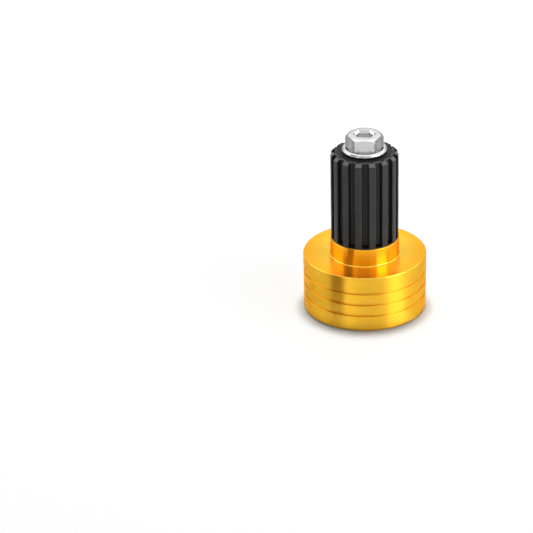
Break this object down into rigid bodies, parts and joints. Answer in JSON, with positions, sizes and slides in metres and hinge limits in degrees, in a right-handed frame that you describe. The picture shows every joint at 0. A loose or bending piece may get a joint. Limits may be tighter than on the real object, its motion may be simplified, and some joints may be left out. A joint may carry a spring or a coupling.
{
  "type": "bar end weight",
  "caption": "Turned handlebar end weight with a short neck and a ribbed rubber sleeve that a hex flange bolt with a key socket squeezes to grip inside the tube.",
  "frame": {"origin": "middle of the flat outer face that the weight stands on", "axes": "+Z along the turning axis, from the outer face through the neck and the sleeve to the bolt head; -Y towards the front flat of the bolt head"},
  "size_m": [0.032, 0.032, 0.0485],
  "materials": {
    "gold_anodised": "satin turned, gold anodised",
    "black_rubber": "semi-matt moulded",
    "bright_zinc": "bright zinc plated, cold formed"
  },
  "bodies": {
    "root": {"end_weight": "gold_anodised", "ribbed_sleeve": "black_rubber", "flange_bolt": "bright_zinc"}
  },
  "joints": []
}
